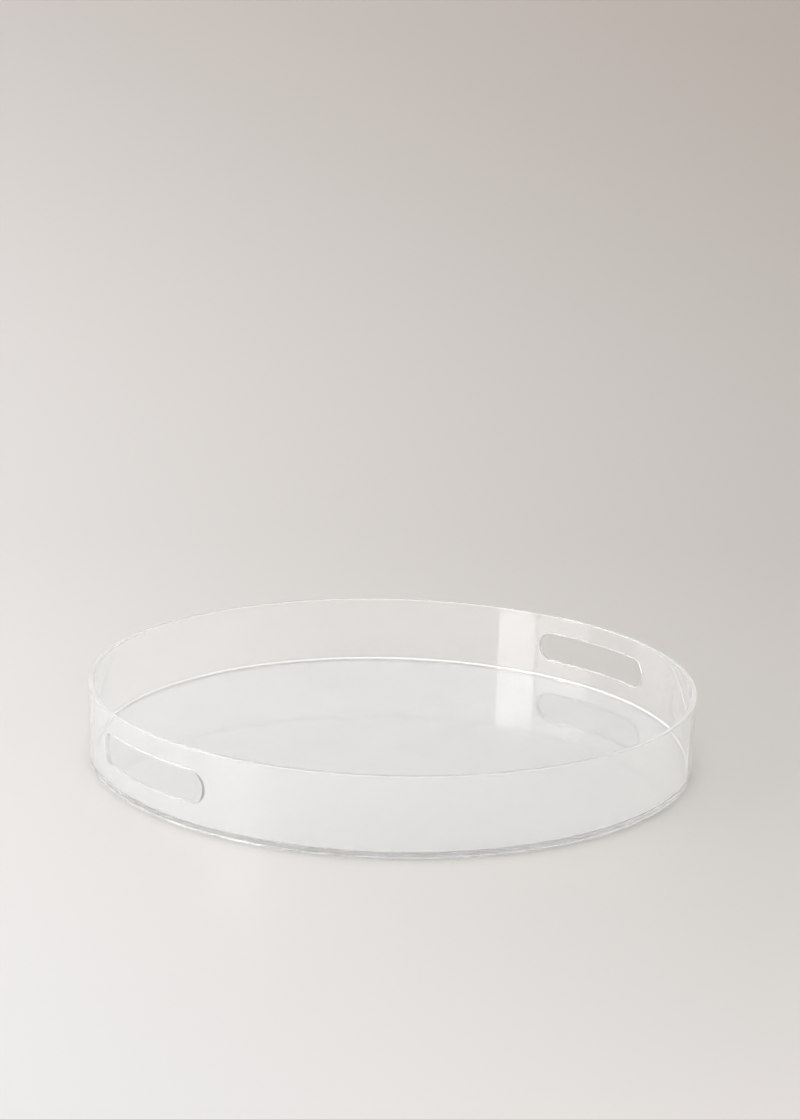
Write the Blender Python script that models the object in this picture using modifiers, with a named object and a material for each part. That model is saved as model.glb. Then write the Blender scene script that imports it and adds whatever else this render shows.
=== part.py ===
"""Round vanity tray in clear acrylic, with a hand slot cut through the wall at each end.

The tray is fabricated from two cut pieces. A ring of clear tube makes the wall, and a disc of
clear sheet sits inside the ring, flush with its lower edge, and makes the base. A run of clear
cement fills the joint between them. The disc's upper edge is bevelled, which makes a groove
for the cement, and the cement stands a little way up the wall as a hollow bead.

The origin is the centre of the underside, +Z is up, and the hand slots face +X and -X.
"""

import math

import bmesh
import bpy

# Driving dimensions, in metres.
OUTER_RADIUS = 0.200
HEIGHT = 0.050
WALL = 0.003
BASE = 0.003
SLOT_LENGTH = 0.102
SLOT_HEIGHT = 0.021
SLOT_CENTRE_HEIGHT = 0.0263
EDGE_BREAK = 0.0004

# The cement joint. Its clearance keeps the cement off the two pieces it joins.
JOINT_WIDTH = 0.0004
GROOVE = 0.0010
CLEARANCE = 0.0001
BEAD_LIP = 0.00015
CEMENT_RISE = 0.0006

# Worked out from the driving dimensions.
INNER_RADIUS = OUTER_RADIUS - WALL
DISC_RADIUS = INNER_RADIUS - JOINT_WIDTH
CUTTER_HALF_LENGTH = OUTER_RADIUS + 0.020

# Facets.
TURNED_STEPS = 144
SLOT_END_STEPS = 16
BEAD_STEPS = 5
MERGE_DISTANCE = 0.00001
SMOOTH_ANGLE = math.radians(30)

# Colours are linear RGB with alpha.
ACRYLIC_COLOUR = (0.93, 0.935, 0.93, 1.0)
BASE_COLOUR = (0.91, 0.915, 0.91, 1.0)
CEMENT_COLOUR = (0.95, 0.95, 0.94, 1.0)
ACRYLIC_IOR = 1.49


def clear_scene():
    """Removes whatever the scene starts with."""
    for obj in list(bpy.data.objects):
        bpy.data.objects.remove(obj)


def new_collection(name):
    """Adds a collection to the scene."""
    collection = bpy.data.collections.new(name)
    bpy.context.scene.collection.children.link(collection)
    return collection


def clear_plastic(name, colour, roughness):
    """A transparent plastic, as a single Principled BSDF."""
    material = bpy.data.materials.new(name)
    material.use_nodes = True
    shader = material.node_tree.nodes["Principled BSDF"]
    shader.inputs["Base Color"].default_value = colour
    shader.inputs["Roughness"].default_value = roughness
    shader.inputs["Metallic"].default_value = 0.0
    shader.inputs["IOR"].default_value = ACRYLIC_IOR
    shader.inputs["Transmission Weight"].default_value = 1.0
    return material


def turned(name, profile, collection, closed=True):
    """Turns a profile about Z.

    The profile is a list of (radius, height) points. It runs down its outer side, top to
    bottom, so the faces point out. An open one starts and ends on the axis.
    """
    mesh = bpy.data.meshes.new(name)
    shape = bmesh.new()
    points = [shape.verts.new((radius, 0.0, height)) for radius, height in profile]
    ends = points[1:] + points[:1] if closed else points[1:]
    for start, end in zip(points, ends):
        shape.edges.new((start, end))
    shape.to_mesh(mesh)
    shape.free()
    obj = bpy.data.objects.new(name, mesh)
    collection.objects.link(obj)
    screw = obj.modifiers.new("turn", "SCREW")
    screw.axis = "Z"
    screw.angle = 2 * math.pi
    screw.steps = TURNED_STEPS
    screw.render_steps = TURNED_STEPS
    screw.use_merge_vertices = True
    screw.merge_threshold = MERGE_DISTANCE
    return obj


def evaluated_mesh(obj):
    """A new mesh with the object's modifiers applied."""
    bpy.context.view_layer.update()
    graph = bpy.context.evaluated_depsgraph_get()
    return bpy.data.meshes.new_from_object(obj.evaluated_get(graph))


def finish_piece(obj, material):
    """Applies the modifiers, smooths the round faces and gives the piece its material."""
    mesh = evaluated_mesh(obj)
    obj.modifiers.clear()
    obj.data = mesh
    mesh.name = obj.name
    mesh.materials.clear()
    mesh.materials.append(material)
    mesh.shade_smooth()
    mesh.set_sharp_from_angle(angle=SMOOTH_ANGLE)


def arc(centre, radius, start, end, steps):
    """Points on an arc, both ends included. The angles are in radians."""
    angles = [start + (end - start) * step / steps for step in range(steps + 1)]
    return [(centre[0] + radius * math.cos(a), centre[1] + radius * math.sin(a)) for a in angles]


def slot_outline():
    """The outline of a hand slot: a bar with full-radius ends, centred on its own origin."""
    radius = SLOT_HEIGHT / 2
    reach = SLOT_LENGTH / 2 - radius
    quarter = math.pi / 2
    right_end = arc((reach, 0.0), radius, -quarter, quarter, SLOT_END_STEPS)
    left_end = arc((-reach, 0.0), radius, quarter, 3 * quarter, SLOT_END_STEPS)
    return right_end + left_end


def slot_cutter(collection):
    """One long bar along X that cuts both hand slots."""
    outline = bpy.data.curves.new("slot_outline", "CURVE")
    outline.dimensions = "2D"
    outline.fill_mode = "BOTH"
    outline.extrude = CUTTER_HALF_LENGTH
    spline = outline.splines.new("POLY")
    corners = slot_outline()
    spline.points.add(len(corners) - 1)
    for point, (across, up) in zip(spline.points, corners):
        point.co = (across, up, 0.0, 1.0)
    spline.use_cyclic_u = True

    # The outline's width lies along world Y, its height along Z, and its extrusion along X.
    curve_object = bpy.data.objects.new("slot_outline", outline)
    curve_object.rotation_euler = (math.pi / 2, 0.0, math.pi / 2)
    curve_object.location = (0.0, 0.0, SLOT_CENTRE_HEIGHT)
    collection.objects.link(curve_object)

    mesh = evaluated_mesh(curve_object)
    shape = bmesh.new()
    shape.from_mesh(mesh)
    bmesh.ops.remove_doubles(shape, verts=shape.verts, dist=MERGE_DISTANCE)
    bmesh.ops.recalc_face_normals(shape, faces=shape.faces)
    shape.to_mesh(mesh)
    shape.free()

    cutter = bpy.data.objects.new("hand_slot_cutter", mesh)
    cutter.matrix_world = curve_object.matrix_world.copy()
    cutter.hide_render = True
    cutter.display_type = "WIRE"
    collection.objects.link(cutter)
    bpy.data.objects.remove(curve_object)
    return cutter


def wall_profile():
    """The wall's section: a tall thin bar with its polished edges broken."""
    bevel = EDGE_BREAK
    return [
        (OUTER_RADIUS - bevel, HEIGHT),
        (OUTER_RADIUS, HEIGHT - bevel),
        (OUTER_RADIUS, bevel),
        (OUTER_RADIUS - bevel, 0.0),
        (INNER_RADIUS, 0.0),
        (INNER_RADIUS, HEIGHT - bevel),
        (INNER_RADIUS + bevel, HEIGHT),
    ]


def make_wall(parts, cutters):
    """The ring of clear tube, with a hand slot through it at each end of X."""
    wall = turned("wall_ring", wall_profile(), parts)
    cut = wall.modifiers.new("hand_slots", "BOOLEAN")
    cut.operation = "DIFFERENCE"
    cut.solver = "EXACT"
    cut.object = slot_cutter(cutters)
    finish_piece(wall, clear_plastic("clear_acrylic_tube", ACRYLIC_COLOUR, 0.03))


def base_profile():
    """The base's half section, from the axis out and back, with its bevelled upper edge."""
    return [
        (0.0, BASE),
        (DISC_RADIUS - GROOVE, BASE),
        (DISC_RADIUS, BASE - GROOVE),
        (DISC_RADIUS, 0.0),
        (0.0, 0.0),
    ]


def make_base(parts):
    """The disc of clear sheet inside the ring, flush with the ring's lower edge.

    Its bevelled upper edge and the wall make the groove that holds the cement.
    """
    base = turned("base_disc", base_profile(), parts, closed=False)
    finish_piece(base, clear_plastic("clear_acrylic_sheet", BASE_COLOUR, 0.04))


def cement_profile():
    """The cement's section: a thin skirt down the joint, and a hollow bead in the groove."""
    outer = INNER_RADIUS - CLEARANCE
    inner = DISC_RADIUS + CLEARANCE
    slope = CLEARANCE * math.tan(math.pi / 8)
    groove_foot = (inner, BASE - GROOVE + slope)
    groove_lip = (DISC_RADIUS - GROOVE + slope + CLEARANCE, BASE)
    hollow_radius = outer - BEAD_LIP - groove_lip[0]
    hollow_centre = (groove_lip[0], BASE + BEAD_LIP + hollow_radius)
    hollow = arc(hollow_centre, hollow_radius, -math.pi / 2, 0.0, BEAD_STEPS)
    return [
        (outer, hollow_centre[1]),
        (outer, CEMENT_RISE),
        (inner, CEMENT_RISE),
        groove_foot,
        groove_lip,
    ] + hollow


def make_cement(parts):
    """The run of clear cement between the base and the wall."""
    cement = turned("cement_joint", cement_profile(), parts)
    finish_piece(cement, clear_plastic("clear_cement", CEMENT_COLOUR, 0.08))


def main():
    clear_scene()
    parts = new_collection("vanity_tray")
    cutters = new_collection("cutters")
    make_wall(parts, cutters)
    make_base(parts)
    make_cement(parts)


main()
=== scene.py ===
"""Looks for the round vanity tray: clear acrylic wall, base and cement, on a pale studio sweep.

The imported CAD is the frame. Three finely faceted pieces stand for its three nodes: the wall with
its hand slots, the base disc, and the run of cement in the corner between them. The tray's sizes
come from the CAD nodes, but here the wall's bevels and the slots' edges are rounded, and the
cement all but fills its joint. Faces that the cement bonds together let light straight through,
as a real welded joint does, so the joint is seen only where it meets the air.
"""

import math

import bpy
from mathutils import Matrix, Vector


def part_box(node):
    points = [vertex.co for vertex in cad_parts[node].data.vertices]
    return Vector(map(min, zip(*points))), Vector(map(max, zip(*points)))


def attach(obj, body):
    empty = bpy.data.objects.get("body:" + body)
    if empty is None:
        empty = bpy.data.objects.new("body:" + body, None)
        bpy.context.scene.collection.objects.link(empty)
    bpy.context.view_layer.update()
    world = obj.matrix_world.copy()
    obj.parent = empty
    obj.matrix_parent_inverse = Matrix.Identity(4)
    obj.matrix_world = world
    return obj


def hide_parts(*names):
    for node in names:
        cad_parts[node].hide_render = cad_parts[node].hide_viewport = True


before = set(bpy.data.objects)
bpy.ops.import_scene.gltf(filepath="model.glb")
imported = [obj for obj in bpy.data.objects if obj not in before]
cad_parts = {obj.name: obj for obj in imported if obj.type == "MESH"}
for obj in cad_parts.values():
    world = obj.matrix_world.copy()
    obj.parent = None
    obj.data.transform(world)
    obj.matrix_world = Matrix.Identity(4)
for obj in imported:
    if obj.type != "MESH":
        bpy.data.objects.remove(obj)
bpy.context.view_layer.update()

# Reading the CAD: how near two lengths are taken as the same, in metres, and the shares of the
# wall's height that the hand slots lie between.
TOUCH = 0.00001
SLOTS_BETWEEN = (0.1, 0.9)

# Columns run round the tray from +X. The hand slots are centred on these two of them.
COLUMNS = 720
SLOT_CENTRES = (0, COLUMNS // 2)

# Each face of the wall is a grid with an opening round each slot. An opening reaches this many
# columns to either side and this many rows up, and stands this far above and below the slot.
# The columns nearest its middle meet the slot's straight part, and the rest meet its round ends.
OPENING_COLUMNS = 37
STRAIGHT_COLUMNS = 23
OPENING_ROWS = 8
OPENING_MARGIN = 0.005

# Loops between an opening and its slot, round a rounded edge and along the bead of cement, and
# the rings of the base, as shares of its radius.
PATCH_STEPS = 4
ROUND_STEPS = 4
BEAD_STEPS = 10
DISC_SHARES = (0.12, 0.3, 0.5, 0.7, 0.86, 0.96, 1.0)

# The radius of the slots' rounded edges, and the gap that keeps the cement's faces apart from
# the faces it bonds, in metres.
SLOT_ROUND = 0.0003
CEMENT_GAP = 0.00001

# The three surfaces of a piece, as material slots.
FACE = 0
EDGE = 1
BONDED = 2

# The plastics. Colours are linear RGB with alpha. Haze is the share of light that a surface
# scatters instead of letting through.
ACRYLIC_IOR = 1.49
CLEAR = (0.985, 0.988, 0.986, 1.0)
WALL_HAZE = 0.055
BASE_HAZE = 0.045
CUT_COLOUR = (0.955, 0.95, 0.94, 1.0)
EDGE_HAZE = 0.38
CEMENT_COLOUR = (0.975, 0.97, 0.96, 1.0)
CEMENT_HAZE = 0.5
WELD_TINT = (0.98, 0.98, 0.98, 1.0)

# Their texture: waves, tint, smudges and hairlines on the faces, tool marks and dullness on the
# cut edges, and bubbles, unevenness and gloss in the cured cement. Scales are in features per
# metre and depths in metres. A range is the part of a noise that shows. Softness is the
# roughness of a face where it is clean.
WALL_SOFTNESS = 0.0
WALL_WAVE_SCALE = 17.0
WALL_WAVE_DEPTH = 0.00003
BASE_SOFTNESS = 0.075
BASE_WAVE_SCALE = 12.0
BASE_WAVE_DEPTH = 0.00002
TINT_SCALE = 9.0
TINT_FACTOR = 0.985
SMUDGE_SCALE = 26.0
SMUDGE_DETAIL = 4.0
SMUDGE_RANGE = (0.5, 0.72)
SMUDGE_ROUGHNESS = 0.035
HAIRLINE_SCALES = ((900.0, 38.0, 300.0), (46.0, 780.0, 260.0))
HAIRLINE_RANGE = (0.735, 0.77)
HAIRLINE_ROUGHNESS = 0.05
MARK_SCALES = (60.0, 60.0, 5200.0)
MARK_DETAIL = 3.0
MARK_DEPTH = 0.0000003
DULL_SCALE = 40.0
DULL_RANGE = (0.3, 0.75)
DULL_ROUGHNESS = (0.12, 0.22)
DULL_FACTOR = 1.01
BUBBLE_SCALE = 900.0
BUBBLE_RANGE = (0.08, 0.22)
BUBBLE_DEPTH = 0.000004
UNEVEN_SCALE = 190.0
UNEVEN_DEPTH = 0.00002
CURED_SCALE = 60.0
CURED_RANGE = (0.3, 0.7)
CURED_ROUGHNESS = (0.02, 0.12)

# The camera stands at this azimuth, elevation and distance from the tray's origin. Its line of
# sight rises by the pitch and turns aside by the yaw, and it is tilted by the roll. Angles are in
# degrees, the lens and sensor in millimetres, and the distance and the range it sees in metres.
CAMERA_AZIMUTH = -41.76
CAMERA_ELEVATION = 18.849
CAMERA_DISTANCE = 1.34464
CAMERA_PITCH = -13.516
CAMERA_YAW = 0.107
CAMERA_ROLL = 1.57
CAMERA_LENS = 64.30
CAMERA_SENSOR = 36.0
CAMERA_SEES = (0.01, 100.0)

# The stage, in metres, with the sweep's rise in degrees. Its back is square to the camera's
# line of sight. It lies a little under the tray, so that the two never touch, and its flat part
# has one more row between the tray and the front.
FLOOR_DROP = 0.0003
SWEEP_BACK = 0.6
SWEEP_RADIUS = 6.0
SWEEP_RISE = 29.0
SWEEP_FRONT = 9.0
SWEEP_ROW = 2.0
SWEEP_HALF_WIDTH = 9.0
SWEEP_STEPS = 48

# The paper's colour carries painted shade. It is graded between tones at the near and far corners
# of what the camera sees, darker to the far right where less light falls, and leans to a third
# tone half way up each side. The slopes are those of the sight lines there: across to either side,
# and down at each end.
PAPER_AND_SHADE_NEAR_LEFT = (0.714, 0.701, 0.686, 1.0)
PAPER_AND_SHADE_NEAR_RIGHT = (0.654, 0.621, 0.593, 1.0)
PAPER_AND_SHADE_MIDDLE_LEFT = (0.714, 0.680, 0.646, 1.0)
PAPER_AND_SHADE_MIDDLE_RIGHT = (0.442, 0.424, 0.384, 1.0)
PAPER_AND_SHADE_FAR_LEFT = (0.511, 0.474, 0.443, 1.0)
PAPER_AND_SHADE_FAR_RIGHT = (0.381, 0.331, 0.290, 1.0)
PAPER_ACROSS = 0.2
PAPER_NEAR = 0.55
PAPER_FAR = -0.03
PAPER_ROUGHNESS = 0.33
PAPER_SHEEN = 0.4
GRAIN_SCALE = 900.0
GRAIN_DETAIL = 3.0
GRAIN_DEPTH = 0.00004

# The two tall windows stand in one wall, to the tray's -X side, with their middles at one
# height. For each: its name, its place along Y, its width and its radiance.
WINDOW_WALL_X = -2.5
WINDOW_HEIGHT = 1.5
WINDOW_MIDDLE = 0.95
WINDOWS = (("window_1", 0.25, 0.74, 5.2), ("window_2", 1.41, 1.40, 2.5))

# The room's radiance: an even light, with a glow on the windows' side, a fill from the camera's
# right and a little more from behind the tray. Each is at an azimuth in degrees, and a higher
# falloff makes it narrower. The ceiling starts at this height of a unit direction, and overhead
# the light falls to the ceiling's share.
ROOM_COLOUR = (0.985, 0.985, 0.995, 1.0)
ROOM_LIGHT = 0.66
GLOW_LIGHT = 1.5
GLOW_AZIMUTH = -105.0
GLOW_FALLOFF = 1.75
FILL_LIGHT = 1.6
FILL_AZIMUTH = 40.0
FILL_FALLOFF = 4.0
BACK_LIGHT = 0.3
BACK_AZIMUTH = 138.0
BACK_FALLOFF = 6.0
CEILING_START = 0.4
CEILING_SHARE = 0.35

# How often light may bounce.
BOUNCES = 128
GLOSSY_BOUNCES = 96
DIFFUSE_BOUNCES = 4
CLEAR_CROSSINGS = 64


class Shell:
    """Gathers the points, normals and faces of one mesh."""

    def __init__(self):
        self.points = []
        self.normals = []
        self.faces = []
        self.slots = []

    def point(self, position, normal):
        """Adds a point and returns its number."""
        self.points.append(tuple(position))
        self.normals.append(Vector(normal).normalized())
        return len(self.points) - 1

    def face(self, corners, slot):
        """Adds a face in one of the piece's material slots."""
        self.faces.append(tuple(corners))
        self.slots.append(slot)

    def band(self, first, second, slot):
        """Faces between two closed loops with the same number of points."""
        count = len(first)
        for number in range(count):
            after = (number + 1) % count
            self.face((first[number], second[number], second[after], first[after]), slot)

    def ring(self, radius, height, lean, rise):
        """A loop of points round Z. Its normals point out by lean and up by rise."""
        loop = []
        for column in range(COLUMNS):
            angle = column_angle(column)
            east, north = math.cos(angle), math.sin(angle)
            position = (radius * east, radius * north, height)
            loop.append(self.point(position, (lean * east, lean * north, rise)))
        return loop

    def build(self, name, materials):
        """Makes the object, with the gathered normals on its corners."""
        mesh = bpy.data.meshes.new(name)
        mesh.from_pydata(self.points, [], self.faces)
        for material in materials:
            mesh.materials.append(material)
        mesh.polygons.foreach_set("material_index", self.slots)
        mesh.shade_smooth()
        mesh.normals_split_custom_set_from_vertices(self.normals)
        mesh.validate(clean_customdata=False)
        obj = bpy.data.objects.new(name, mesh)
        bpy.context.scene.collection.objects.link(obj)
        return obj


def column_angle(column):
    """The angle of a column about Z, from +X."""
    return 2 * math.pi * column / COLUMNS


def blend(start, end, share):
    """A value between two others."""
    return start + (end - start) * share


# ---------------------------------------------------------------------------------------------
# Sizes, read from the CAD nodes.


def node_points(name):
    """The corners of a CAD node."""
    return [vertex.co.copy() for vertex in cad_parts[name].data.vertices]


def radius_of(point):
    """A point's distance from Z."""
    return math.hypot(point.x, point.y)


class Sizes:
    """The tray's sizes in metres."""

    def __init__(self):
        corners = node_points("wall_ring")
        self.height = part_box("wall_ring")[1].z
        self.outer = max(radius_of(corner) for corner in corners)
        self.inner = min(radius_of(corner) for corner in corners)
        outside = [corner.z for corner in corners if radius_of(corner) > self.outer - TOUCH]
        self.edge = self.height - max(outside)
        lowest, highest = (share * self.height for share in SLOTS_BETWEEN)
        slot = [corner for corner in corners if lowest < corner.z < highest]
        self.slot_half = max(corner.y for corner in slot)
        self.slot_low = min(corner.z for corner in slot)
        self.slot_high = max(corner.z for corner in slot)

        disc = node_points("base_disc")
        self.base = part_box("base_disc")[1].z
        upper = [corner for corner in disc if corner.z > self.base - TOUCH]
        self.disc = max(radius_of(corner) for corner in disc)
        self.disc_top = max(radius_of(corner) for corner in upper)
        self.groove = self.disc - self.disc_top

        cement = node_points("cement_joint")
        self.cement_low = min(corner.z for corner in cement)
        self.cement_high = max(corner.z for corner in cement)


# ---------------------------------------------------------------------------------------------
# The wall.


def slot_outline(size):
    """Points round a hand slot, with their directions into the wall, from its top left.

    They run clockwise as seen from outside the tray. Across is along the wall and up is +Z.
    """
    radius = (size.slot_high - size.slot_low) / 2
    middle = (size.slot_high + size.slot_low) / 2
    reach = size.slot_half - radius
    straight = 2 * STRAIGHT_COLUMNS
    turn = 2 * (OPENING_COLUMNS - STRAIGHT_COLUMNS) + OPENING_ROWS
    outline = []
    for side in (1, -1):
        for step in range(straight):
            across = side * blend(-reach, reach, step / straight)
            outline.append((across, middle + side * radius, 0.0, float(side)))
        for step in range(turn):
            angle = math.pi * step / turn
            away, up = side * math.sin(angle), side * math.cos(angle)
            outline.append((side * reach + radius * away, middle + radius * up, away, up))
    return outline


def opening_loop(grid, centre, top, bottom):
    """The grid's points round an opening, matched one to one with its slot's outline."""
    step = 1 if bottom > top else -1
    loop = []
    for offset in range(-STRAIGHT_COLUMNS, OPENING_COLUMNS):
        loop.append(grid[top][(centre + offset) % COLUMNS])
    for row in range(top, bottom, step):
        loop.append(grid[row][(centre + OPENING_COLUMNS) % COLUMNS])
    for offset in range(OPENING_COLUMNS, -OPENING_COLUMNS, -1):
        loop.append(grid[bottom][(centre + offset) % COLUMNS])
    for row in range(bottom, top, -step):
        loop.append(grid[row][(centre - OPENING_COLUMNS) % COLUMNS])
    for offset in range(-OPENING_COLUMNS, -STRAIGHT_COLUMNS):
        loop.append(grid[top][(centre + offset) % COLUMNS])
    return loop


def in_opening(column, row, rows, margin):
    """True if a place in the grid is in an opening. A margin of 1 leaves out its outline."""
    if not min(rows) + margin <= row <= max(rows) - margin:
        return False
    half = COLUMNS // 2
    offsets = [(column - centre + half) % COLUMNS - half for centre in SLOT_CENTRES]
    return any(abs(offset) <= OPENING_COLUMNS - margin for offset in offsets)


def wall_face(shell, radius, facing, heights, open_rows, kinds):
    """One face of the wall as a grid, with an opening left round each slot.

    Facing is 1 for the outer face and -1 for the inner one. Heights run in the order of the
    profile, kinds are the material slots of the rows of faces between them, and open_rows are
    the numbers of the first and last heights of the openings.
    """
    grid = []
    for row, height in enumerate(heights):
        line = []
        for column in range(COLUMNS):
            if in_opening(column, row, open_rows, 1):
                line.append(None)
                continue
            angle = column_angle(column)
            east, north = math.cos(angle), math.sin(angle)
            normal = (facing * east, facing * north, 0.0)
            line.append(shell.point((radius * east, radius * north, height), normal))
        grid.append(line)
    for row in range(len(heights) - 1):
        for column in range(COLUMNS):
            after = (column + 1) % COLUMNS
            corners = (
                grid[row][column],
                grid[row + 1][column],
                grid[row + 1][after],
                grid[row][after],
            )
            left_open = in_opening(column, row, open_rows, 0) and row < open_rows[1]
            if left_open and in_opening(after, row, open_rows, 0):
                continue
            shell.face(corners, kinds[row])
    return grid


def patch(shell, boundary, outline, radius, facing, centre):
    """Loops from an opening's boundary in to its slot, on one face of the wall."""
    loops = [boundary]
    middle = column_angle(centre)
    for step in range(1, PATCH_STEPS + 1):
        share = step / PATCH_STEPS
        loop = []
        for number, (across, up, away, rise) in zip(boundary, outline):
            start = Vector(shell.points[number])
            turned = math.atan2(start.y, start.x) - middle
            turned = (turned + math.pi) % (2 * math.pi) - math.pi
            goal = math.asin((across + SLOT_ROUND * away) / radius)
            angle = middle + blend(turned, goal, share)
            height = blend(start.z, up + SLOT_ROUND * rise, share)
            east, north = math.cos(angle), math.sin(angle)
            normal = (facing * east, facing * north, 0.0)
            loop.append(shell.point((radius * east, radius * north, height), normal))
        loops.append(loop)
    return loops


def lining_edge(shell, lip, outline, radius, facing, centre):
    """Loops that round a slot's edge over from one face of the wall to the straight cut."""
    angle = column_angle(centre)
    ahead = Vector((math.cos(angle), math.sin(angle), 0.0))
    sideways = Vector((-math.sin(angle), math.cos(angle), 0.0))
    loops = []
    for step in range(1, ROUND_STEPS + 1):
        share = step / ROUND_STEPS
        loop = []
        for number, (across, up, away, rise) in zip(lip, outline):
            depth = math.sqrt(radius * radius - across * across)
            start = Vector(shell.points[number])
            corner = ahead * depth + sideways * across + Vector((0.0, 0.0, up))
            end = corner - ahead * (facing * SLOT_ROUND)
            first = blend(start, corner, share)
            second = blend(corner, end, share)
            open_side = sideways * -away - Vector((0.0, 0.0, rise))
            normal = blend(shell.normals[number], open_side, share)
            loop.append(shell.point(blend(first, second, share), normal))
        loops.append(loop)
    return loops


def slot_surfaces(shell, size, outer_grid, outer_rows, inner_grid, inner_rows):
    """Both hand slots: the patches round them on each face, and their polished linings."""
    outline = slot_outline(size)
    for centre in SLOT_CENTRES:
        outside = opening_loop(outer_grid, centre, outer_rows[0], outer_rows[1])
        inside = opening_loop(inner_grid, centre, inner_rows[1], inner_rows[0])
        outer_loops = patch(shell, outside, outline, size.outer, 1, centre)
        inner_loops = patch(shell, inside, outline, size.inner, -1, centre)
        outer_round = lining_edge(shell, outer_loops[-1], outline, size.outer, 1, centre)
        inner_round = lining_edge(shell, inner_loops[-1], outline, size.inner, -1, centre)
        for first, second in zip(outer_loops, outer_loops[1:]):
            shell.band(first, second, FACE)
        lining = outer_loops[-1:] + outer_round + inner_round[::-1] + inner_loops[-1:]
        for first, second in zip(lining, lining[1:]):
            shell.band(first, second, EDGE)
        for first, second in zip(inner_loops[::-1], inner_loops[-2::-1]):
            shell.band(first, second, FACE)


def rounding(shell, radius, height, round_radius, start, end):
    """Rings round a rounded edge. The angles in its section run from +radius towards +Z."""
    rings = []
    for step in range(1, ROUND_STEPS):
        angle = blend(start, end, step / ROUND_STEPS)
        lean, rise = math.cos(angle), math.sin(angle)
        place = (radius + round_radius * lean, height + round_radius * rise)
        rings.append(shell.ring(place[0], place[1], lean, rise))
    return rings


def make_wall(size, materials):
    """The ring of clear tube with its two hand slots."""
    shell = Shell()
    low = size.slot_low - OPENING_MARGIN
    high = size.slot_high + OPENING_MARGIN
    openings = [blend(low, high, row / OPENING_ROWS) for row in range(OPENING_ROWS + 1)]

    brow = size.height - size.edge
    outer_heights = [brow] + openings[::-1] + [size.edge]
    outer_rows = (1, 1 + OPENING_ROWS)
    outer_kinds = [FACE] * (len(outer_heights) - 1)
    outer = wall_face(shell, size.outer, 1, outer_heights, outer_rows, outer_kinds)

    joint_heights = [0.0, size.cement_low, size.cement_high]
    joint_kinds = [FACE, BONDED, FACE]
    inner_heights = joint_heights + openings + [brow]
    inner_rows = (len(joint_heights), len(joint_heights) + OPENING_ROWS)
    inner_kinds = joint_kinds + [FACE] * len(openings)
    inner = wall_face(shell, size.inner, -1, inner_heights, inner_rows, inner_kinds)

    slot_surfaces(shell, size, outer, outer_rows, inner, inner_rows)

    quarter = math.pi / 2
    shoulder = size.outer - size.edge
    foot = [outer[-1]]
    foot += rounding(shell, shoulder, size.edge, size.edge, 0.0, -quarter)
    foot += [shell.ring(shoulder, 0.0, 0.0, -1.0), shell.ring(size.inner, 0.0, 0.0, -1.0)]
    lip = size.inner + size.edge
    rim = [inner[-1]]
    rim += rounding(shell, lip, brow, size.edge, 2 * quarter, quarter)
    rim += [shell.ring(lip, size.height, 0.0, 1.0), shell.ring(shoulder, size.height, 0.0, 1.0)]
    rim += rounding(shell, shoulder, brow, size.edge, quarter, 0.0)
    rim += [outer[0]]
    for loops, kind in ((foot, FACE), (rim, EDGE)):
        for first, second in zip(loops, loops[1:]):
            shell.band(first, second, kind)
    return shell.build("clear_wall", materials)


# ---------------------------------------------------------------------------------------------
# The base and the cement.


def make_base(size, materials):
    """The disc of clear sheet, with its bevelled upper edge."""
    shell = Shell()
    top = [shell.ring(size.disc_top * share, size.base, 0.0, 1.0) for share in DISC_SHARES]
    bottom = [shell.ring(size.disc * share, 0.0, 0.0, -1.0) for share in DISC_SHARES]
    middle_top = shell.point((0.0, 0.0, size.base), (0.0, 0.0, 1.0))
    middle_bottom = shell.point((0.0, 0.0, 0.0), (0.0, 0.0, -1.0))
    for column in range(COLUMNS):
        after = (column + 1) % COLUMNS
        shell.face((middle_top, top[0][column], top[0][after]), FACE)
        shell.face((middle_bottom, bottom[0][after], bottom[0][column]), FACE)
    for first, second in zip(top, top[1:]):
        shell.band(first, second, FACE)
    for first, second in zip(bottom[::-1], bottom[-2::-1]):
        shell.band(first, second, FACE)

    bevel_top = shell.ring(size.disc_top, size.base, 1.0, 1.0)
    bevel_foot = shell.ring(size.disc, size.base - size.groove, 1.0, 1.0)
    edge_top = shell.ring(size.disc, size.base - size.groove, 1.0, 0.0)
    edge_low = shell.ring(size.disc, size.cement_low, 1.0, 0.0)
    edge_foot = shell.ring(size.disc, 0.0, 1.0, 0.0)
    shell.band(bevel_top, bevel_foot, BONDED)
    shell.band(edge_top, edge_low, BONDED)
    shell.band(edge_low, edge_foot, FACE)
    return shell.build("clear_base", materials)


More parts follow.
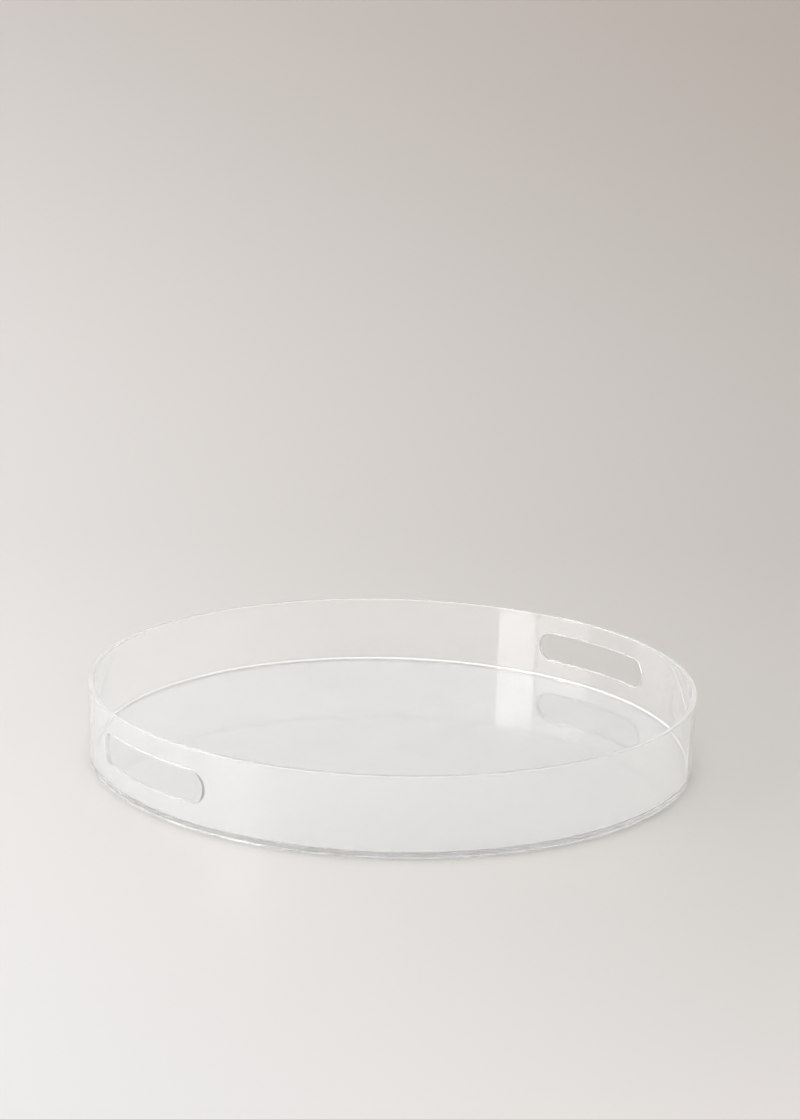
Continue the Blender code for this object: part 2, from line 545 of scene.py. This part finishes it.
def make_cement(size, materials):
    """The run of cement, with its hollow bead standing a little way up the wall."""
    shell = Shell()
    outside = size.inner - CEMENT_GAP
    inside = size.disc + CEMENT_GAP
    lip = size.disc_top + CEMENT_GAP
    rise = size.cement_high - size.base
    bead = []
    for step in range(BEAD_STEPS + 1):
        angle = math.pi / 2 * step / BEAD_STEPS
        place = blend(lip, outside, math.sin(angle))
        height = size.base + CEMENT_GAP + (rise - CEMENT_GAP) * (1 - math.cos(angle))
        bead.append(shell.ring(place, height, -math.sin(angle), math.cos(angle)))
    skirt = [
        shell.ring(outside, size.cement_high, 1.0, 0.0),
        shell.ring(outside, size.cement_low, 1.0, 0.0),
    ]
    foot = [
        shell.ring(outside, size.cement_low, 0.0, -1.0),
        shell.ring(inside, size.cement_low, 0.0, -1.0),
    ]
    edge = [
        shell.ring(inside, size.cement_low, -1.0, 0.0),
        shell.ring(inside, size.base - size.groove, -1.0, 0.0),
    ]
    groove = [
        shell.ring(inside, size.base - size.groove, -1.0, -1.0),
        shell.ring(lip, size.base, -1.0, -1.0),
    ]
    for first, second in zip(bead, bead[1:]):
        shell.band(first, second, FACE)
    shell.band(skirt[0], skirt[1], BONDED)
    shell.band(foot[0], foot[1], FACE)
    shell.band(edge[0], edge[1], BONDED)
    shell.band(groove[0], groove[1], BONDED)
    return shell.build("clear_cement", materials)


# ---------------------------------------------------------------------------------------------
# Materials.


class Nodes:
    """The node tree of a material or the world, with short calls for what it is made of."""

    def __init__(self, owner, place):
        self.tree = owner.node_tree
        self.shader = self.tree.nodes.get("Principled BSDF")
        self.place = self.add("ShaderNodeTexCoord").outputs[place]

    def add(self, kind, **settings):
        """Adds a node and sets its options."""
        node = self.tree.nodes.new(kind)
        for key, value in settings.items():
            setattr(node, key, value)
        return node

    def feed(self, source, socket):
        """Links an output to an input, or sets the input to a plain value."""
        if isinstance(source, bpy.types.NodeSocket):
            self.tree.links.new(source, socket)
        else:
            socket.default_value = source

    def stretched(self, scale):
        """The object's own coordinates, scaled along each axis."""
        node = self.add("ShaderNodeVectorMath", operation="MULTIPLY")
        self.feed(self.place, node.inputs[0])
        self.feed(scale, node.inputs[1])
        return node.outputs[0]

    def along(self, direction):
        """How far a point lies along a direction."""
        node = self.add("ShaderNodeVectorMath", operation="DOT_PRODUCT")
        self.feed(self.place, node.inputs[0])
        self.feed(tuple(direction), node.inputs[1])
        return node.outputs["Value"]

    def noise(self, scale, detail=2.0, where=None):
        """A noise between 0 and 1."""
        node = self.add("ShaderNodeTexNoise")
        self.feed(where or self.place, node.inputs["Vector"])
        self.feed(scale, node.inputs["Scale"])
        self.feed(detail, node.inputs["Detail"])
        return node.outputs["Fac"]

    def remap(self, value, low, high, to_low, to_high):
        """Maps one range of a value to another, held at its ends."""
        node = self.add("ShaderNodeMapRange")
        for source, socket in zip((value, low, high, to_low, to_high), node.inputs):
            self.feed(source, socket)
        return node.outputs[0]

    def maths(self, operation, first, second):
        """A sum worked on two values."""
        node = self.add("ShaderNodeMath", operation=operation)
        self.feed(first, node.inputs[0])
        self.feed(second, node.inputs[1])
        return node.outputs[0]

    def bump(self, height, distance, under=None):
        """A bump of the given depth in metres, over another one."""
        node = self.add("ShaderNodeBump")
        node.inputs["Strength"].default_value = 1.0
        self.feed(distance, node.inputs["Distance"])
        self.feed(height, node.inputs["Height"])
        if under is not None:
            self.feed(under, node.inputs["Normal"])
        return node.outputs[0]

    def let_through(self, haze):
        """Makes the shader a clear plastic that scatters a share of the light."""
        self.shader.inputs["IOR"].default_value = ACRYLIC_IOR
        self.shader.inputs["Transmission Weight"].default_value = 1.0 - haze

    def mixed(self, share, first, second):
        """A colour between two others."""
        node = self.add("ShaderNodeMix", data_type="RGBA")
        self.feed(share, node.inputs["Factor"])
        self.feed(first, node.inputs["A"])
        self.feed(second, node.inputs["B"])
        return node.outputs["Result"]


def scaled(colour, factor):
    """A colour made darker or paler by a factor."""
    return tuple(min(1.0, channel * factor) for channel in colour[:3]) + (1.0,)


def new_material(name):
    """A material with its nodes on."""
    material = bpy.data.materials.new(name)
    material.use_nodes = True
    return material


def acrylic(name, haze, softness, wave_scale, wave_depth):
    """Polished acrylic: nearly clear, faintly wavy, with smudges and a few hairlines."""
    material = new_material(name)
    nodes = Nodes(material, "Object")
    shader = nodes.shader
    smears = nodes.noise(SMUDGE_SCALE, SMUDGE_DETAIL)
    smudge = nodes.remap(smears, *SMUDGE_RANGE, softness, softness + SMUDGE_ROUGHNESS)
    hairs = []
    for scales in HAIRLINE_SCALES:
        grain = nodes.noise(1.0, 1.0, nodes.stretched(scales))
        hairs.append(nodes.remap(grain, *HAIRLINE_RANGE, 0.0, HAIRLINE_ROUGHNESS))
    gloss = nodes.maths("ADD", smudge, nodes.maths("ADD", hairs[0], hairs[1]))
    nodes.feed(gloss, shader.inputs["Roughness"])
    deep = scaled(CLEAR, TINT_FACTOR)
    nodes.feed(nodes.mixed(nodes.noise(TINT_SCALE), CLEAR, deep), shader.inputs["Base Color"])
    nodes.feed(nodes.bump(nodes.noise(wave_scale, 1.0), wave_depth), shader.inputs["Normal"])
    nodes.let_through(haze)
    return material


def cut_edge(name):
    """A cut and polished acrylic edge: a little cloudy, with fine tool marks along it."""
    material = new_material(name)
    nodes = Nodes(material, "Object")
    shader = nodes.shader
    marks = nodes.noise(1.0, MARK_DETAIL, nodes.stretched(MARK_SCALES))
    dull = nodes.noise(DULL_SCALE)
    nodes.feed(nodes.remap(dull, *DULL_RANGE, *DULL_ROUGHNESS), shader.inputs["Roughness"])
    nodes.feed(nodes.bump(marks, MARK_DEPTH), shader.inputs["Normal"])
    pale = scaled(CUT_COLOUR, DULL_FACTOR)
    nodes.feed(nodes.mixed(dull, CUT_COLOUR, pale), shader.inputs["Base Color"])
    nodes.let_through(EDGE_HAZE)
    return material


def cured_cement(name):
    """Cured cement: cloudy and softly uneven, with a scatter of tiny bubbles."""
    material = new_material(name)
    nodes = Nodes(material, "Object")
    shader = nodes.shader
    bubbles = nodes.add("ShaderNodeTexVoronoi")
    nodes.feed(nodes.place, bubbles.inputs["Vector"])
    bubbles.inputs["Scale"].default_value = BUBBLE_SCALE
    round_bubbles = nodes.remap(bubbles.outputs["Distance"], *BUBBLE_RANGE, 1.0, 0.0)
    uneven = nodes.bump(nodes.noise(UNEVEN_SCALE), UNEVEN_DEPTH)
    nodes.feed(nodes.bump(round_bubbles, BUBBLE_DEPTH, uneven), shader.inputs["Normal"])
    gloss = nodes.remap(nodes.noise(CURED_SCALE), *CURED_RANGE, *CURED_ROUGHNESS)
    nodes.feed(gloss, shader.inputs["Roughness"])
    nodes.feed(CEMENT_COLOUR, shader.inputs["Base Color"])
    nodes.let_through(CEMENT_HAZE)
    return material


def welded(name):
    """A bonded face inside the joint, which light crosses without bending."""
    material = new_material(name)
    nodes = Nodes(material, "Object")
    clear = nodes.add("ShaderNodeBsdfTransparent")
    clear.inputs["Color"].default_value = WELD_TINT
    output = nodes.tree.nodes["Material Output"]
    nodes.feed(clear.outputs[0], output.inputs["Surface"])
    nodes.tree.nodes.remove(nodes.shader)
    return material


# ---------------------------------------------------------------------------------------------
# The stage, the light and the camera.


def toward(azimuth, elevation=0.0):
    """The direction from the tray to a place at this azimuth and elevation, in degrees.

    Azimuth 0 is -Y and 90 is +X.
    """
    around, above = math.radians(azimuth), math.radians(elevation)
    level = math.cos(above)
    return Vector((math.sin(around) * level, -math.cos(around) * level, math.sin(above)))


def sweep_profile():
    """The sweep's section, front to back: distance behind the tray, and height."""
    profile = [(away, 0.0) for away in (-SWEEP_FRONT, -SWEEP_ROW, 0.0, SWEEP_BACK)]
    for step in range(1, SWEEP_STEPS + 1):
        angle = math.radians(SWEEP_RISE) * step / SWEEP_STEPS
        away = SWEEP_BACK + SWEEP_RADIUS * math.sin(angle)
        profile.append((away, SWEEP_RADIUS * (1 - math.cos(angle))))
    return profile


def make_sweep(material):
    """A seamless floor that curves up behind the tray."""
    back = toward(CAMERA_AZIMUTH + 180)
    side = Vector((-back.y, back.x, 0.0))
    points, faces = [], []
    for away, height in sweep_profile():
        for reach in (-SWEEP_HALF_WIDTH, SWEEP_HALF_WIDTH):
            place = back * away + side * reach
            points.append((place.x, place.y, height - FLOOR_DROP))
    for row in range(len(points) // 2 - 1):
        corner = 2 * row
        faces.append((corner, corner + 1, corner + 3, corner + 2))
    mesh = bpy.data.meshes.new("studio_sweep")
    mesh.from_pydata(points, [], faces)
    mesh.materials.append(material)
    mesh.shade_smooth()
    sweep = bpy.data.objects.new("studio_sweep", mesh)
    bpy.context.scene.collection.objects.link(sweep)


def paper(name):
    """Seamless paper with a low sheen, with painted shade: darker from the near left to the far
    right.
    """
    material = new_material(name)
    nodes = Nodes(material, "Object")
    shader = nodes.shader
    eye = toward(CAMERA_AZIMUTH, CAMERA_ELEVATION) * CAMERA_DISTANCE
    away = toward(CAMERA_AZIMUTH + 180)
    right = Vector((away.y, -away.x, 0.0))
    distance = nodes.maths("SUBTRACT", nodes.along(away), eye.dot(away))
    below = nodes.maths("SUBTRACT", eye.z, nodes.along((0.0, 0.0, 1.0)))
    across = nodes.maths("DIVIDE", nodes.along(right), distance)
    down = nodes.maths("DIVIDE", below, distance)
    across = nodes.remap(across, -PAPER_ACROSS, PAPER_ACROSS, 0.0, 1.0)
    depth = nodes.remap(down, PAPER_NEAR, PAPER_FAR, 0.0, 1.0)
    # Painted shade: the tones grade darker from the near left to the far right, standing in for
    # the light falling off.
    near = nodes.mixed(across, PAPER_AND_SHADE_NEAR_LEFT, PAPER_AND_SHADE_NEAR_RIGHT)
    middle = nodes.mixed(across, PAPER_AND_SHADE_MIDDLE_LEFT, PAPER_AND_SHADE_MIDDLE_RIGHT)
    far = nodes.mixed(across, PAPER_AND_SHADE_FAR_LEFT, PAPER_AND_SHADE_FAR_RIGHT)
    front = nodes.mixed(depth, near, middle)
    behind = nodes.mixed(depth, middle, far)
    nodes.feed(nodes.mixed(depth, front, behind), shader.inputs["Base Color"])
    shader.inputs["Roughness"].default_value = PAPER_ROUGHNESS
    shader.inputs["Specular IOR Level"].default_value = PAPER_SHEEN
    grain = nodes.noise(GRAIN_SCALE, GRAIN_DETAIL)
    nodes.feed(nodes.bump(grain, GRAIN_DEPTH), shader.inputs["Normal"])
    return material


def make_window(name, along, width, radiance):
    """A tall soft window in the wall on the tray's -X side."""
    light = bpy.data.lights.new(name, "AREA")
    light.shape = "RECTANGLE"
    light.size = width
    light.size_y = WINDOW_HEIGHT
    light.energy = radiance * width * WINDOW_HEIGHT * math.pi
    light.color = (1.0, 1.0, 1.0)
    obj = bpy.data.objects.new(name, light)
    obj.location = (WINDOW_WALL_X, along, WINDOW_MIDDLE)
    obj.rotation_euler = (math.pi / 2, 0.0, -math.pi / 2)
    bpy.context.scene.collection.objects.link(obj)


def make_world():
    """Soft white studio light from all round, with its glows, and dimmer overhead."""
    world = bpy.data.worlds.new("studio")
    bpy.context.scene.world = world
    world.use_nodes = True
    nodes = Nodes(world, "Generated")
    background = nodes.tree.nodes["Background"]
    background.inputs["Color"].default_value = ROOM_COLOUR

    level = ROOM_LIGHT
    for azimuth, falloff, strength in (
        (GLOW_AZIMUTH, GLOW_FALLOFF, GLOW_LIGHT),
        (FILL_AZIMUTH, FILL_FALLOFF, FILL_LIGHT),
        (BACK_AZIMUTH, BACK_FALLOFF, BACK_LIGHT),
    ):
        side = nodes.remap(nodes.along(toward(azimuth)), -1.0, 1.0, 0.0, 1.0)
        glow = nodes.maths("MULTIPLY", nodes.maths("POWER", side, falloff), strength)
        level = nodes.maths("ADD", glow, level)
    height = nodes.along((0.0, 0.0, 1.0))
    ceiling = nodes.remap(height, CEILING_START, 1.0, 1.0, CEILING_SHARE)
    nodes.feed(nodes.maths("MULTIPLY", level, ceiling), background.inputs["Strength"])


def make_camera():
    """The camera, to the tray's front left and a little above it."""
    camera = bpy.data.cameras.new("camera")
    camera.lens = CAMERA_LENS
    camera.sensor_width = CAMERA_SENSOR
    camera.clip_start, camera.clip_end = CAMERA_SEES
    obj = bpy.data.objects.new("camera", camera)
    obj.location = toward(CAMERA_AZIMUTH, CAMERA_ELEVATION) * CAMERA_DISTANCE
    sight = -toward(CAMERA_AZIMUTH - CAMERA_YAW, -CAMERA_PITCH)
    aim = sight.to_track_quat("-Z", "Y").to_matrix()
    roll = Matrix.Rotation(math.radians(CAMERA_ROLL), 3, "Z")
    obj.rotation_mode = "QUATERNION"
    obj.rotation_quaternion = (aim @ roll).to_quaternion()
    bpy.context.scene.collection.objects.link(obj)
    bpy.context.scene.camera = obj


def set_light_paths():
    """Enough bounces for light to cross many clear walls."""
    cycles = bpy.context.scene.cycles
    cycles.max_bounces = BOUNCES
    cycles.transmission_bounces = BOUNCES
    cycles.glossy_bounces = GLOSSY_BOUNCES
    cycles.diffuse_bounces = DIFFUSE_BOUNCES
    cycles.transparent_max_bounces = CLEAR_CROSSINGS
    cycles.blur_glossy = 0.0
    cycles.use_denoising = True


# ---------------------------------------------------------------------------------------------
# The scene.


def main():
    """Makes the tray's three pieces, each for its CAD node, and the stage round them."""
    size = Sizes()
    bond = welded("bonded_face")
    tube = acrylic(
        "clear_acrylic_tube", WALL_HAZE, WALL_SOFTNESS, WALL_WAVE_SCALE, WALL_WAVE_DEPTH
    )
    plate = acrylic(
        "clear_acrylic_sheet", BASE_HAZE, BASE_SOFTNESS, BASE_WAVE_SCALE, BASE_WAVE_DEPTH
    )
    polished = cut_edge("cut_acrylic_edge")
    cement = cured_cement("clear_cement")

    wall = make_wall(size, (tube, polished, bond))
    base = make_base(size, (plate, polished, bond))
    joint = make_cement(size, (cement, cement, bond))
    for piece, node, slot in (
        (wall, "wall_ring", "acrylic_wall"),
        (base, "base_disc", "acrylic_base"),
        (joint, "cement_joint", "cement"),
    ):
        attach(piece, "root")
        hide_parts(node)

    make_sweep(paper("seamless_paper"))
    for name, along, width, radiance in WINDOWS:
        make_window(name, along, width, radiance)
    make_world()
    make_camera()
    bpy.context.scene.view_settings.view_transform = "Standard"
    set_light_paths()


main()
